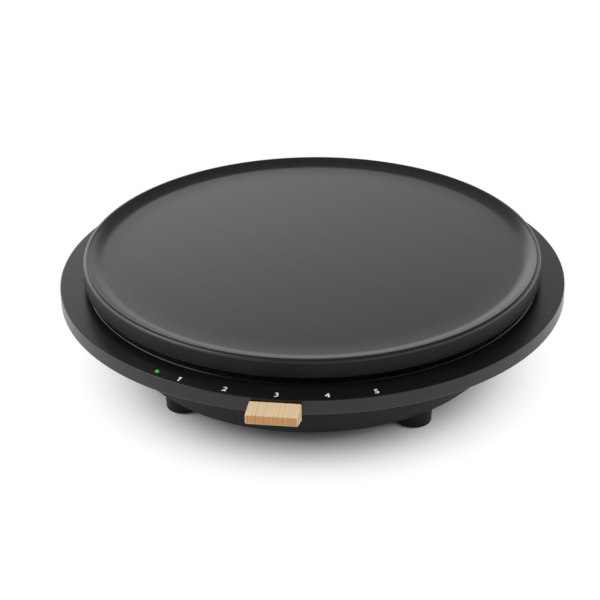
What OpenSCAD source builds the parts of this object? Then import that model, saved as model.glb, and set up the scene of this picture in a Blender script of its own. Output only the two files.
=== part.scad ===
// Electric crepe maker: a round cast plate over a two-part housing on four feet, with a wooden
// temperature slider that swings about the plate's vertical axis.
// Frame: origin on the table under the plate's centre, +Z up, slider towards -Y. Millimetres.
// Azimuths are counted from the front (-Y), positive towards +X.

/* [Cooking plate] */
// Diameter of the cooking surface inside the rim
cook_d = 297; // [285:1:330]
// Height of the cooking surface's middle above the housing's flange
cook_rise = 15; // [14.5:0.5:20]
// Radial width of the shallow rise at the edge of the cooking surface
dish_w = 15.5; // [10:0.5:24]
// Slope of the shallow rise where it meets the rim, in degrees
dish_a = 1.5; // [0.5:0.1:2.5]
// Radial width of the rim around the cooking surface
rim_w = 14.5; // [13:0.1:18]
// Height of the rim above the middle of the cooking surface
rim_h = 4; // [3:0.1:4.5]
// Radius of the rim's outer rounding
rim_round = 2.5; // [2:0.1:4]
// Thickness of the plate
plate_t = 5; // [4:0.5:5.5]
// Height of the plate's side below the cooking surface
skirt_h = 9.5; // [8:0.5:12]
// Thickness of the plate's side at its lower edge
skirt_t = 4; // [3:0.5:6]
// Outward draft of the plate's side
side_draft = 0.5; // [0:0.1:1]

/* [Housing] */
// Height of the flange's top face above the table
flange_z = 70; // [66:0.5:90]
// Distance from the plate's outer edge in to the lip of the housing
lip_inset = 3; // [2:0.5:6]
// Radius of the rounded bead on the lip
lip_bead = 0.8; // [0.5:0.1:1.2]
// Radial width of the flange from the lip to its outer edge
flange_w = 20; // [18:0.5:40]
// Height of the band around the flange's edge
band_h = 11; // [11:0.1:14]
// Wall thickness of both housings
wall = 2.5; // [2:0.1:3]
// Rounding of the flange's upper outer edge
edge_round = 0.8; // [0.5:0.1:2.4]
// Rounding of the band's lower outer edge
band_round = 0.8; // [0.3:0.1:1.5]
// Thickness of the inward ledge under the flange
ledge_t = 2; // [1.5:0.1:2.5]
// Distance from the flange's edge in to the top of the bowl
bowl_inset = 14; // [12.5:0.5:14.5]
// Height of the bowl's rim inside the ledge
rim_lap = 1.6; // [1:0.1:2]
// Gap between the bowl's rim and the ledge around it
seam_gap = 0.4; // [0.2:0.1:0.8]
// Horizontal run of the bowl's side
bowl_run = 34.2; // [28:0.1:40]
// Slope of the bowl's side where it meets its floor, in degrees
bowl_foot_a = 45; // [35:1:60]
// Rounding between the bowl's side and its floor
floor_round = 6; // [4:0.5:10]
// Number of vent slots in the bowl's floor
vent_count = 24; // [12:2:30]
// Width of a vent slot
vent_w = 3; // [2:0.1:3.5]
// Length of a vent slot
vent_l = 26; // [15:1:30]
// Radius of the ring of vent slots
vent_ring_r = 78; // [74:1:82]

/* [Feet] */
// Height of the bowl's floor above the table
floor_z = 14.5; // [12:0.5:22]
// Distance from the edge of the bowl's floor in to a foot's centre
foot_inset = 13.8; // [13.6:0.1:18]
// Diameter of a foot at its top
foot_top_d = 26.8; // [26:0.1:27.2]
// Diameter of a foot at its lower end
foot_low_d = 25.2; // [24:0.1:26]
// Diameter of the rubber pad under a foot
pad_d = 20; // [17:0.5:21]
// Thickness of the rubber pad
pad_t = 2.4; // [2:0.1:3.4]
// Depth of the pad's seat in the foot
pad_seat = 1.6; // [1:0.1:1.9]

/* [Slider] */
// Swing of the slider to either side of the middle number, in degrees
swing = 21; // [10:1:30]
// Width of the wooden knob
knob_w = 34; // [24:0.5:45]
// Radial depth of the knob
knob_l = 17.6; // [14:0.1:26]
// Height of the knob's front face
knob_front_h = 6.7; // [5:0.1:9]
// Height of the knob's back face
knob_back_h = 13.1; // [12:0.1:14.4]
// Distance from the flange's top face down to the knob's top face
knob_drop = 2; // [2:0.1:4]
// Bevel on the knob's edges
knob_bevel = 0.7; // [0.3:0.1:1.2]
// Gap between the band and the knob
knob_gap = 0.4; // [0.3:0.1:1]
// Width of the slider arm
arm_w = 14; // [12:0.5:18]
// Thickness of the slider arm
arm_t = 1.2; // [1:0.1:1.5]
// Gap between the band's underside and the slider arm
arm_drop = 1; // [0.9:0.05:1.2]
// Diameter of the thermostat's spindle
spindle_d = 6; // [5:0.5:7]

/* [Heating] */
// Diameter of the ring of the heating element
element_ring_d = 190; // [176:1:194]
// Diameter of the element's tube
element_d = 8; // [6.5:0.1:8.2]
// Half of the angle left open between the element's ends, in degrees
element_gap_a = 22; // [20:1:30]
// Bend radius of the element's ends
element_bend = 12; // [10:0.5:12]
// Diameter of the thermostat's body
thermostat_d = 30; // [28:0.5:34]
// Thickness of the heat reflector
reflector_t = 1; // [0.5:0.1:1]

/* [Wiring] */
// Diameter of the cord that the gland takes
cord_d = 7; // [5:0.1:8]
// Height of the cord gland's axis above the table
gland_z = 42; // [40:0.5:44]
// Diameter of an insulated wire
wire_d = 2.6; // [2:0.1:3]
// Diameter of the sleeved lamp lead
lamp_lead_d = 3; // [2:0.1:3.2]
// Azimuth of the indicator on the flange, in degrees
lamp_az = -28; // [-29:0.5:-26]
// Diameter of the indicator lens
lens_d = 3; // [2:0.1:3.4]

/* [Hidden] */
$fn = 96;

// Small overlap that lets cuts run clean through a face
cut = 1;
// Depth by which joined shapes of one piece run into each other
bite = 0.6;
// Number of steps in a small rounding
round_steps = 8;
// Radial clearance of the spindle in its bore
spindle_fit = 0.05;
// Radial clearance around fasteners and pins that pass a hole
hole_fit = 0.15;
// Radial clearance where a screw is driven into its hole
thread_fit = 0.05;
// Clearance of pieces that seat in a recess
seat_fit = 0.1;

// Plate
cook_r = cook_d / 2;
plate_r = cook_r + rim_w;
cook_z = flange_z + cook_rise;
plate_under_z = cook_z - plate_t;
plate_edge_z = cook_z - skirt_h;
skirt_corner = 0.8;
pad_drop = 3;
skirt_taper = 2;
plate_pad_z = plate_under_z - pad_drop;
centre_pad_r = 36;

// Heating element and its groove
element_r = element_d / 2;
ring_r = element_ring_d / 2;
groove_wall = 5;
element_sink = 0.2;
element_z = plate_under_z + element_sink - element_r;
boss_ring_h = 6;
boss_ring_z = plate_under_z - boss_ring_h;
boss_half_w = element_r + groove_wall;
boss_draft = 1;
boss_margin_a = 2;
boss_stop_a = element_gap_a + boss_margin_a;
leg_end_z = 56;
bead_r = 5;
bead_h = 6;
bead_gap = 2;
pin_r = 1.5;
pin_h = 4;
tab_w = 6.3;
tab_t = 0.8;
tab_l = 6;
tab_end_z = leg_end_z - bead_h - pin_h - tab_l;

// Housing
lip_r = plate_r - lip_inset;
housing_r = lip_r + flange_w;
seam_z = flange_z - band_h;
throat_r = lip_r - wall / 2;
ledge_top_z = seam_z + ledge_t;
bowl_r = housing_r - bowl_inset;
shelf_t = 1.5;
shelf_w = 3.2;
shelf_rise = 7.2;
shelf_z = seam_z + shelf_rise;
ear_r = 5;
ear_t = 3;
ear_neck_w = 8;
ear_inset = 8.3;
ear_ring_r = throat_r - ear_inset;
ear_azimuths = [36, 90, 144, 216, 270, 324];
ear_post_r = 4.5;
housing_screw_r = 1.4;
housing_screw_head_r = 3;
housing_screw_head_h = 2;
housing_screw_grip = 11;

// Bowl's side: from its rim down to the rounding at its floor
floor_flat_r = bowl_r - bowl_run - floor_round * sin(bowl_foot_a);
side_top = [bowl_r, seam_z];
side_end = [floor_flat_r + floor_round * sin(bowl_foot_a),
    floor_z + floor_round * (1 - cos(bowl_foot_a))];
side_pull = norm(side_top - side_end) / 2;
side_mid = side_end + side_pull * [cos(bowl_foot_a), sin(bowl_foot_a)];
floor_top_z = floor_z + wall;

// Reflector
reflector_rise = 1.2;
reflector_z = seam_z + reflector_rise;
reflector_top_z = reflector_z + reflector_t;
reflector_hole_r = 39;
reflector_head_gap = 0.45;
reflector_slope_r = ear_ring_r - housing_screw_head_r - reflector_head_gap;
reflector_slope_w = 13;
reflector_flat_r = reflector_slope_r - reflector_slope_w;
reflector_rim_gap = 0.5;
reflector_rim_r = throat_r - reflector_rim_gap;

// Stacks of foot, post, spacer and plate boss, on one long screw each
stack_r = floor_flat_r - foot_inset;
stack_azimuths = [-45, 45, 135, -135];
stack_post_r = 5.5;
spacer_r = 5;
plate_boss_r = 7;
plate_boss_drop = 9;
plate_boss_z = plate_under_z - plate_boss_drop;
stack_screw_r = 2;
stack_head_r = 4;
stack_head_h = 3;
head_gap = 0.6;
stack_bore_r = stack_screw_r + hole_fit;
stack_grip = 9;
head_seat_z = 8;
foot_low_z = pad_t - pad_seat;
foot_corner = 0.8;

// Thermostat on the axis
thermostat_r = thermostat_d / 2;
thermostat_h = 10;
cap_r = 7;
cap_h = 6;
thermostat_z = plate_pad_z - cap_h - thermostat_h;
bushing_r = 6;
arm_top_z = seam_z - arm_drop;
bushing_gap = 0.35;
bushing_z = arm_top_z + bushing_gap;
spindle_r = spindle_d / 2;
spindle_bore_depth = 8;
spindle_bore_top_z = thermostat_z + spindle_bore_depth;
spindle_tip_gap = 0.5;
stub_step = 0.5;
stub_r = spindle_r - stub_step;
stub_h = 6.5;
nut_h = 4;
nut_r = 4.6;
bracket_t = 1.5;
bracket_w = 16;
bracket_gap = 2;
bracket_leg_x = thermostat_r + bracket_gap + bracket_t;
bracket_foot_l = 14;
bracket_screw_out = 8;
bracket_screw_x = bracket_leg_x + bracket_screw_out;
tower_x = 10;
tower_y = 18;
tower_rise = 1;
tower_z = thermostat_z + tower_rise;
tower_h = 8;
thermostat_tab_x = 6;
thermostat_tab_l = 6;
thermostat_tab_z = tower_z + tower_h / 2;

// Slider
arm_z = arm_top_z - arm_t;
knob_back_r = housing_r + knob_gap;
knob_top_z = flange_z - knob_drop;
knob_back_z = knob_top_z - knob_back_h;
knob_front_z = knob_top_z - knob_front_h;
knob_rise = (knob_front_z - knob_back_z) / knob_l;
arm_seat_l = (arm_z - knob_back_z) / knob_rise;
arm_end_r = knob_back_r + arm_seat_l;
arm_side_gap = 0.2;
hub_r = 10;
slot_margin_a = 0.6;
slot_half_a = swing + asin(arm_w / 2 / (bowl_r - wall)) + slot_margin_a;
slot_low_gap = 0.85;
slot_reach = 4;
knob_screw_x = 4.2;
knob_screw_r = 1.2;
knob_screw_head_r = 2.3;
knob_screw_head_h = 1.4;
knob_screw_l = 6;
knob_screw_seat_r = knob_back_r + arm_seat_l / 2;

// Indicator
lens_r = lens_d / 2;
lamp_offset = 14.5;
lamp_ring_r = lip_r + lamp_offset;
lens_flange_w = 0.9;
lens_flange_r = lens_r + lens_flange_w;
lens_flange_h = 1.2;
lens_dome_drop = 0.3;
top_wall_z = flange_z - wall;
lamp_r = 1.3;
board_rise = 2;
board_z = ledge_top_z + board_rise;
board_t = 1.2;
board_l = 12;
board_w = 10;
board_inset = 3.5;
board_ring_r = lamp_ring_r - board_inset;
rib_t = 1.2;
rib_gap = 1;
lamp_wire_z = board_z + board_t / 2;
lamp_hole_gap = 0.5;
lamp_hole_r = lamp_lead_d / 2 + lamp_hole_gap;

// Fuse under the plate
fuse_x = 60;
fuse_r = 3;
fuse_l = 30;
fuse_z = plate_pad_z - fuse_r - seat_fit;
fuse_lead_r = 0.6;
fuse_lead_l = 2;
clip_t = 1;
clip_l = 8;
clip_tab_l = 10;
fuse_screw_gap = 5;
fuse_screw_x = fuse_x - fuse_r - clip_t - fuse_screw_gap;
fuse_pad_w = 30;
fuse_pad_margin = 6;
fuse_pad_x = fuse_screw_x - fuse_pad_margin;
fuse_pad_l = fuse_x + fuse_pad_margin - fuse_pad_x;
small_screw_r = 1.5;
small_head_r = 3;
small_head_h = 1.8;
small_grip = 5;

// Cord gland at the back
cord_fit = 0.2;
cord_bore_r = cord_d / 2 + cord_fit;
gland_wall = 2.3;
gland_neck_r = cord_bore_r + gland_wall;
gland_flange_w = 2.5;
gland_flange_r = gland_neck_r + gland_flange_w;
gland_flange_t = 2.5;
gland_taper = 1;
gland_lock_w = 1.5;
gland_lock_r = gland_neck_r + gland_lock_w;
gland_lock_t = 2.5;
spout_wall = 4.4;
spout_r = gland_neck_r + seat_fit + spout_wall;
spout_inset = 4.5;
spout_end_y = bowl_r - spout_inset;
spout_l = 23.5;
spout_in_y = spout_end_y - spout_l;

// Terminal block near the back
block_l = 48;
block_w = 18;
block_gap = 11.5;
block_y = spout_in_y - gland_lock_t - block_gap - block_w / 2;
block_h = 16;
block_rise = 4;
block_z = floor_top_z + block_rise;
pole_count = 4;
pole_pitch = block_l / pole_count;
pole_xs = [for (i = [0 : pole_count - 1]) (i + 0.5) * pole_pitch - block_l / 2];
pole_hole_r = 2;
pole_z = block_z + block_h / 2;
block_front_y = block_y - block_w / 2;
block_screw_x = pole_pitch;
block_post_r = 3.5;
clamp_r = 1.8;
clamp_l = 5;
clamp_h = 4;
clamp_slot_w = 0.6;
clamp_slot_h = 1;
blind_floor = 1;

// Earth tab on the reflector
earth_x = 20;
earth_y = 60;
earth_tab_t = 0.8;
earth_tab_l = 9;
earth_foot_l = 10;
earth_end_z = reflector_z - earth_tab_l;
earth_foot_margin = 0.6;
earth_foot_w = tab_w + 2 * earth_foot_margin;
earth_tab_y = earth_y - earth_foot_w / 2 + earth_foot_l - earth_tab_t / 2;
rivet_r = 1.6;
rivet_head_r = 3;
rivet_head_h = 0.8;

// Wires: sides of a tube, and steps between the points that its route is given by
wire_sides = 8;
wire_steps = 3;
wire_end_gap = 0.3;
lamp_turn = 1;

plate_c = [0.17, 0.165, 0.16];
housing_c = [0.13, 0.13, 0.135];
wood_c = [0.87, 0.76, 0.57];
rubber_c = [0.08, 0.08, 0.08];
steel_c = [0.62, 0.62, 0.64];
aluminium_c = [0.75, 0.75, 0.77];
ceramic_c = [0.9, 0.88, 0.83];
brass_c = [0.78, 0.66, 0.36];
green_c = [0.15, 0.62, 0.22];
board_c = [0.25, 0.42, 0.25];
live_c = [0.45, 0.25, 0.12];
neutral_c = [0.12, 0.3, 0.7];
earth_c = [0.4, 0.65, 0.15];
hot_wire_c = [0.8, 0.1, 0.1];
sleeve_c = [0.9, 0.9, 0.86];

function unit(v) = v / norm(v);

function but_first(list) = [for (i = [1 : len(list) - 1]) list[i]];

// Points of an arc about a centre, in the plane of a profile
function arc(centre, r, from, to, steps = round_steps) =
    [for (i = [0 : steps]) let (a = from + (to - from) * i / steps) centre + r * [cos(a), sin(a)]];

// Place on a circle at an azimuth and height
function at(az, r, z = 0) = [r * sin(az), -r * cos(az), z];

// A smooth route through chosen points
function between(a, b, c, d, t) =
    0.5 * (2 * b + (c - a) * t + (2 * a - 5 * b + 4 * c - d) * t * t
    + (3 * b - a - 3 * c + d) * t * t * t);
function route(p, n = wire_steps) = [
    for (i = [0 : len(p) - 2]) for (k = [0 : n - 1])
        between(p[max(i - 1, 0)], p[i], p[i + 1], p[min(i + 2, len(p) - 1)], k / n),
    p[len(p) - 1]];

// A round tube along points; up is a direction that the tube never runs along
module tube(p, r, up) {
    n = len(p);
    s = wire_sides;
    ways = [for (i = [0 : n - 1]) unit(p[min(i + 1, n - 1)] - p[max(i - 1, 0)])];
    rings = [for (i = [0 : n - 1])
        let (u = unit(cross(ways[i], up)), v = cross(ways[i], u))
        [for (k = [0 : s - 1]) p[i] + r * (cos(360 * k / s) * u + sin(360 * k / s) * v)]];
    sides = [for (i = [0 : n - 2]) for (k = [0 : s - 1])
        let (a = i * s + k, b = i * s + (k + 1) % s) each [[a, a + s, b + s], [a, b + s, b]]];
    ends = [[for (k = [0 : s - 1]) k], [for (k = [s - 1 : -1 : 0]) (n - 1) * s + k]];
    polyhedron([for (ring = rings) each ring], concat(ends, sides));
}

// Holds its children at an azimuth and radius, with +X pointing outward
module place(az, r, z = 0) {
    translate(at(az, r, z)) rotate([0, 0, az - 90]) children();
}

// A hole or shaft along +Z that runs past its ends by the cutting overlap
module bore(r, z, h) {
    translate([0, 0, z - cut]) cylinder(r = r, h = h + 2 * cut);
}

// A pan-head screw with a slot, its head's underside at z = 0 and its shank along +Z
module screw(shank_r, shank_l, head_r, head_h) {
    slot_w = head_r / 3;
    cylinder(r = shank_r, h = shank_l);
    difference() {
        translate([0, 0, -head_h]) cylinder(r = head_r, h = head_h);
        translate([-head_r - cut, -slot_w / 2, -head_h - cut])
            cube([2 * (head_r + cut), slot_w, cut + head_h / 2]);
    }
}

// ---- cooking plate ----

// The surface curves up to the rim; the rim's hollow is tangent to that curve and to its rounding
dish_r = dish_w / sin(dish_a);
dish_centre = [cook_r - dish_w, cook_z + dish_r];
dish_up = [-sin(dish_a), cos(dish_a)];
dish_edge = dish_centre - dish_r * dish_up;
round_centre = [plate_r - side_draft - rim_round, cook_z + rim_h - rim_round];
rim_step = round_centre - dish_edge;
hollow_r = (rim_step * rim_step - rim_round * rim_round) / (2 * (rim_round + rim_step * dish_up));
hollow_centre = dish_edge + hollow_r * dish_up;
rim_slope = 90 + atan2(round_centre[1] - hollow_centre[1], round_centre[0] - hollow_centre[0]);
rim_steps = 14;

module plate_profile() {
    corner = [plate_r - skirt_corner, plate_edge_z + skirt_corner];
    polygon(concat(
        [[0, plate_under_z], [0, cook_z]],
        arc(dish_centre, dish_r, -90, -90 + dish_a),
        but_first(arc(hollow_centre, hollow_r, -90 + dish_a, -90 + rim_slope)),
        but_first(arc(round_centre, rim_round, 90 + rim_slope, 0, rim_steps)),
        arc(corner, skirt_corner, 0, -90, 4),
        [[plate_r - skirt_t, plate_edge_z], [plate_r - skirt_t - skirt_taper, plate_under_z]]));
}

module element_boss_profile() {
    root = boss_half_w + boss_draft;
    polygon([[ring_r - root, plate_under_z + bite], [ring_r + root, plate_under_z + bite],
        [ring_r + boss_half_w, boss_ring_z], [ring_r - boss_half_w, boss_ring_z]]);
}

// Clears the boss between the element's ends, where they bend down
module element_boss_stop() {
    root = boss_half_w + boss_draft + cut;
    rotate([0, 0, 90 - boss_stop_a])
        rotate_extrude(angle = 2 * boss_stop_a)
            translate([ring_r - root, boss_ring_z - cut])
                square([2 * root, plate_under_z - boss_ring_z + cut]);
}

module groove_profile() {
    groove_r = element_r + thread_fit;
    translate([ring_r, element_z]) circle(r = groove_r);
    translate([ring_r - groove_r, boss_ring_z - cut]) square([2 * groove_r, element_z - boss_ring_z + cut]);
}

module cooking_plate() {
    color(plate_c)
    difference() {
        union() {
            rotate_extrude() {
                plate_profile();
                element_boss_profile();
            }
            translate([0, 0, plate_pad_z]) cylinder(r = centre_pad_r, h = pad_drop + bite);
            translate([fuse_pad_x, -fuse_pad_w / 2, plate_pad_z])
                cube([fuse_pad_l, fuse_pad_w, pad_drop + bite]);
            for (az = stack_azimuths)
                place(az, stack_r, plate_boss_z) cylinder(r = plate_boss_r, h = plate_boss_drop + bite);
        }
        rotate_extrude() groove_profile();
        element_boss_stop();
        for (az = stack_azimuths)
            place(az, stack_r, plate_boss_z - cut)
                cylinder(r = stack_screw_r + thread_fit, h = stack_grip + 2 * cut);
        for (side = [-1, 1])
            translate([side * bracket_screw_x, 0, plate_pad_z - cut])
                cylinder(r = small_screw_r + thread_fit, h = small_grip + 2 * cut);
        translate([fuse_screw_x, 0, plate_pad_z - cut])
            cylinder(r = small_screw_r + thread_fit, h = small_grip + 2 * cut);
    }
}

// ---- heating element ----

// Places its children at both ends of the element's ring, with +X running on past the end
module element_ends() {
    for (side = [-1, 1])
        rotate([0, 0, side * element_gap_a])
            translate([0, ring_r, 0])
                mirror([side < 0 ? 1 : 0, 0, 0])
                    children();
}

module element_legs() {
    element_ends()
        translate([element_bend, 0, 0])
            children();
}

module heating_element() {
    color(steel_c)
    union() {
        translate([0, 0, element_z])
            rotate([0, 0, 90 + element_gap_a])
                rotate_extrude(angle = 360 - 2 * element_gap_a)
                    translate([ring_r, 0]) circle(r = element_r);
        element_ends()
            translate([0, 0, element_z - element_bend])
                rotate([90, 0, 0])
                    rotate_extrude(angle = 90)
                        translate([element_bend, 0]) circle(r = element_r);
        element_legs()
            translate([0, 0, leg_end_z])
                cylinder(r = element_r, h = element_z - element_bend - leg_end_z);
    }
}

module element_insulators() {
    color(ceramic_c)
    element_legs()
        translate([0, 0, leg_end_z - bead_h])
            cylinder(r = bead_r, h = bead_h);
}

module element_terminals() {
    color(brass_c)
    element_legs() {
        translate([0, 0, leg_end_z - bead_h - pin_h]) cylinder(r = pin_r, h = pin_h);
        translate([-tab_w / 2, -tab_t / 2, tab_end_z]) cube([tab_w, tab_t, tab_l]);
    }
}

// ---- reflector and its earth ----

module heat_reflector() {
    rise = shelf_z + shelf_t - reflector_z;
    lean = reflector_t * tan(atan2(rise, reflector_slope_r - reflector_flat_r) / 2);
    color(aluminium_c)
    difference() {
        rotate_extrude()
            polygon([[reflector_hole_r, reflector_z], [reflector_flat_r, reflector_z],
                [reflector_slope_r, reflector_z + rise], [reflector_rim_r, reflector_z + rise],
                [reflector_rim_r, reflector_top_z + rise],
                [reflector_slope_r - lean, reflector_top_z + rise],
                [reflector_flat_r - lean, reflector_top_z], [reflector_hole_r, reflector_top_z]]);
        for (az = stack_azimuths) place(az, stack_r) bore(stack_bore_r, reflector_z, reflector_t);
        element_legs() bore(bead_r + bead_gap, reflector_z, reflector_t);
        translate([earth_x, earth_y, 0]) bore(rivet_r + thread_fit, reflector_z, reflector_t);
    }
}

module earth_tab() {
    color(brass_c)
    difference() {
        union() {
            translate([earth_x - earth_foot_w / 2, earth_y - earth_foot_w / 2, reflector_z - earth_tab_t])
                cube([earth_foot_w, earth_foot_l, earth_tab_t]);
            translate([earth_x - tab_w / 2, earth_tab_y - earth_tab_t / 2, earth_end_z])
                cube([tab_w, earth_tab_t, earth_tab_l]);
        }
        translate([earth_x, earth_y, 0]) bore(rivet_r + thread_fit, reflector_z - earth_tab_t, earth_tab_t);
    }
}

module earth_rivet() {
    grip = earth_tab_t + reflector_t;
    color(steel_c)
    translate([earth_x, earth_y, reflector_z - earth_tab_t]) {
        cylinder(r = rivet_r, h = grip);
        translate([0, 0, -rivet_head_h]) cylinder(r = rivet_head_r, h = rivet_head_h);
        translate([0, 0, grip]) cylinder(r = rivet_head_r, h = rivet_head_h);
    }
}

// ---- stacks that hold the plate ----

module plate_spacers() {
    color(ceramic_c)
    for (az = stack_azimuths)
        place(az, stack_r)
            difference() {
                translate([0, 0, reflector_top_z])
                    cylinder(r = spacer_r, h = plate_boss_z - reflector_top_z);
                bore(stack_bore_r, reflector_top_z, plate_boss_z - reflector_top_z);
            }
}

module plate_screws() {
    color(steel_c)
    for (az = stack_azimuths)
        place(az, stack_r, head_seat_z)
            screw(stack_screw_r, plate_boss_z + stack_grip - head_seat_z, stack_head_r, stack_head_h);
}

module foot(az) {
    top_r = foot_top_d / 2;
    low_r = foot_low_d / 2;
    seat_r = pad_d / 2 + seat_fit;
    well_r = stack_head_r + head_gap;
    color(housing_c)
    place(az, stack_r)
        rotate_extrude()
            polygon(concat(
                [[stack_bore_r, floor_z], [top_r, floor_z]],
                arc([low_r - foot_corner, foot_low_z + foot_corner], foot_corner, 0, -90, 4),
                [[seat_r, foot_low_z], [seat_r, pad_t], [well_r, pad_t], [well_r, head_seat_z],
                [stack_bore_r, head_seat_z]]));
}

module foot_pad(az) {
    color(rubber_c)
    place(az, stack_r) cylinder(d = pad_d, h = pad_t);
}

module foot_front_left() { foot(stack_azimuths[0]); }
module foot_front_right() { foot(stack_azimuths[1]); }
module foot_back_right() { foot(stack_azimuths[2]); }
module foot_back_left() { foot(stack_azimuths[3]); }
module pad_front_left() { foot_pad(stack_azimuths[0]); }
module pad_front_right() { foot_pad(stack_azimuths[1]); }
module pad_back_right() { foot_pad(stack_azimuths[2]); }
module pad_back_left() { foot_pad(stack_azimuths[3]); }

// ---- housings ----

module top_housing_profile() {
    top_corner = [housing_r - edge_round, flange_z - edge_round];
    low_corner = [housing_r - band_round, seam_z + band_round];
    throat_out_r = throat_r + wall;
    ledge_r = bowl_r + seam_gap;
    polygon(concat(
        [[throat_r, seam_z], [throat_r, flange_z]],
        arc([lip_r, flange_z], lip_bead, 180, 0),
        arc(top_corner, edge_round, 90, 0),
        arc(low_corner, band_round, 0, -90, 4),
        [[ledge_r, seam_z], [ledge_r, ledge_top_z], [housing_r - wall, ledge_top_z],
        [housing_r - wall, top_wall_z], [throat_out_r, top_wall_z], [throat_out_r, seam_z]]));
    translate([throat_r - shelf_w, shelf_z]) square([shelf_w + bite, shelf_t]);
}

module top_housing() {
    ear_hole_r = housing_screw_r + hole_fit;
    color(housing_c)
    difference() {
        union() {
            rotate_extrude() top_housing_profile();
            for (az = ear_azimuths)
                place(az, ear_ring_r, seam_z) {
                    cylinder(r = ear_r, h = ear_t);
                    translate([0, -ear_neck_w / 2, 0]) cube([ear_inset + bite, ear_neck_w, ear_t]);
                }
            // Two ribs that carry the lamp board on the ledge
            for (side = [-1, 1])
                place(lamp_az, board_ring_r, ledge_top_z - bite)
                    translate([rib_gap, side * (board_w / 2 - rib_t) - rib_t / 2, 0])
                        cube([board_l / 2 - 2 * rib_gap, rib_t, board_rise + bite]);
        }
        for (az = ear_azimuths) place(az, ear_ring_r) bore(ear_hole_r, seam_z, ear_t);
        place(lamp_az, lamp_ring_r) bore(lens_r + thread_fit, top_wall_z, wall);
        // Way for the lamp lead through the throat's wall
        place(lamp_az, throat_r - cut, lamp_wire_z)
            rotate([0, 90, 0]) cylinder(r = lamp_hole_r, h = wall + 2 * cut);
    }
}

module housing_screws() {
    color(steel_c)
    for (az = ear_azimuths)
        place(az, ear_ring_r, seam_z + ear_t)
            mirror([0, 0, 1])
                screw(housing_screw_r, ear_t + housing_screw_grip, housing_screw_head_r,
                    housing_screw_head_h);
}

// The bowl's side as a smooth curve, shifted inward by a distance
function side_point(t) =
    (1 - t) * (1 - t) * side_top + 2 * t * (1 - t) * side_mid + t * t * side_end;
function side_way(t) = unit((1 - t) * (side_mid - side_top) + t * (side_end - side_mid));
function side_curve(inward) = [for (i = [0 : round_steps])
    let (t = i / round_steps, way = side_way(t)) side_point(t) + inward * [way[1], -way[0]]];

module bowl_outer() {
    polygon(concat(
        [[0, seam_z + rim_lap], [bowl_r, seam_z + rim_lap]],
        side_curve(0),
        but_first(arc([floor_flat_r, floor_z + floor_round], floor_round, -90 + bowl_foot_a, -90)),
        [[0, floor_z]]));
}

module bowl_inner() {
    polygon(concat(
        [[0, seam_z + rim_lap + cut], [bowl_r - wall, seam_z + rim_lap + cut]],
        side_curve(wall),
        but_first(arc([floor_flat_r, floor_z + floor_round], floor_round - wall, -90 + bowl_foot_a, -90)),
        [[0, floor_top_z]]));
}

module bottom_housing() {
    post_top_z = reflector_z;
    color(housing_c)
    difference() {
        union() {
            rotate_extrude()
                difference() {
                    bowl_outer();
                    bowl_inner();
                }
            for (az = stack_azimuths)
                place(az, stack_r, floor_z + wall / 2)
                    cylinder(r = stack_post_r, h = post_top_z - floor_z - wall / 2);
            intersection() {
                for (az = ear_azimuths)
                    place(az, ear_ring_r, floor_top_z) cylinder(r = ear_post_r, h = seam_z - floor_top_z);
                rotate_extrude() bowl_outer();
            }
            translate([0, spout_in_y, gland_z]) rotate([-90, 0, 0]) cylinder(r = spout_r, h = spout_l);
            for (side = [-1, 1])
                translate([side * block_screw_x, block_y, floor_top_z - bite])
                    cylinder(r = block_post_r, h = block_z - floor_top_z + bite);
        }
        for (az = stack_azimuths) place(az, stack_r) bore(stack_bore_r, floor_z, post_top_z - floor_z);
        for (az = ear_azimuths)
            place(az, ear_ring_r, seam_z - housing_screw_grip - cut)
                cylinder(r = housing_screw_r + thread_fit, h = housing_screw_grip + 2 * cut);
        translate([0, spout_in_y - cut, gland_z]) rotate([-90, 0, 0])
            cylinder(r = gland_neck_r + seat_fit, h = spout_l + 2 * cut);
        for (side = [-1, 1])
            translate([side * block_screw_x, block_y, floor_z + blind_floor])
                cylinder(r = small_screw_r + thread_fit, h = block_z);
        for (i = [0 : vent_count - 1])
            rotate([0, 0, (i + 0.5) * 360 / vent_count])
                translate([vent_ring_r - vent_l / 2, -vent_w / 2, floor_z - cut])
                    cube([vent_l, vent_w, wall + 2 * cut]);
        arm_slot();
    }
}

// Way for the slider arm through the bowl's rim, an arc about the spindle's axis
module arm_slot() {
    low_z = arm_z - slot_low_gap;
    translate([0, 0, low_z])
        rotate([0, 0, -90 - slot_half_a])
            rotate_extrude(angle = 2 * slot_half_a)
                translate([bowl_r - wall - slot_reach, 0])
                    square([wall + 2 * slot_reach, seam_z + rim_lap + cut - low_z]);
}

// ---- thermostat ----

module thermostat_body() {
    color(ceramic_c)
    difference() {
        union() {
            translate([0, 0, thermostat_z]) cylinder(r = thermostat_r, h = thermostat_h);
            translate([0, 0, plate_pad_z - cap_h - bite]) cylinder(r = cap_r, h = cap_h + bite);
            translate([0, 0, bushing_z]) cylinder(r = bushing_r, h = thermostat_z - bushing_z + bite);
            translate([-tower_x, 0, tower_z]) cube([2 * tower_x, tower_y, tower_h]);
        }
        translate([0, 0, bushing_z - cut])
            cylinder(r = spindle_r + spindle_fit, h = spindle_bore_top_z - bushing_z + cut);
    }
}

module thermostat_terminals() {
    color(brass_c)
    for (side = [-1, 1])
        translate([side * thermostat_tab_x - tab_t / 2, tower_y, thermostat_tab_z - tab_w / 2])
            cube([tab_t, thermostat_tab_l, tab_w]);
}

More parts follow.
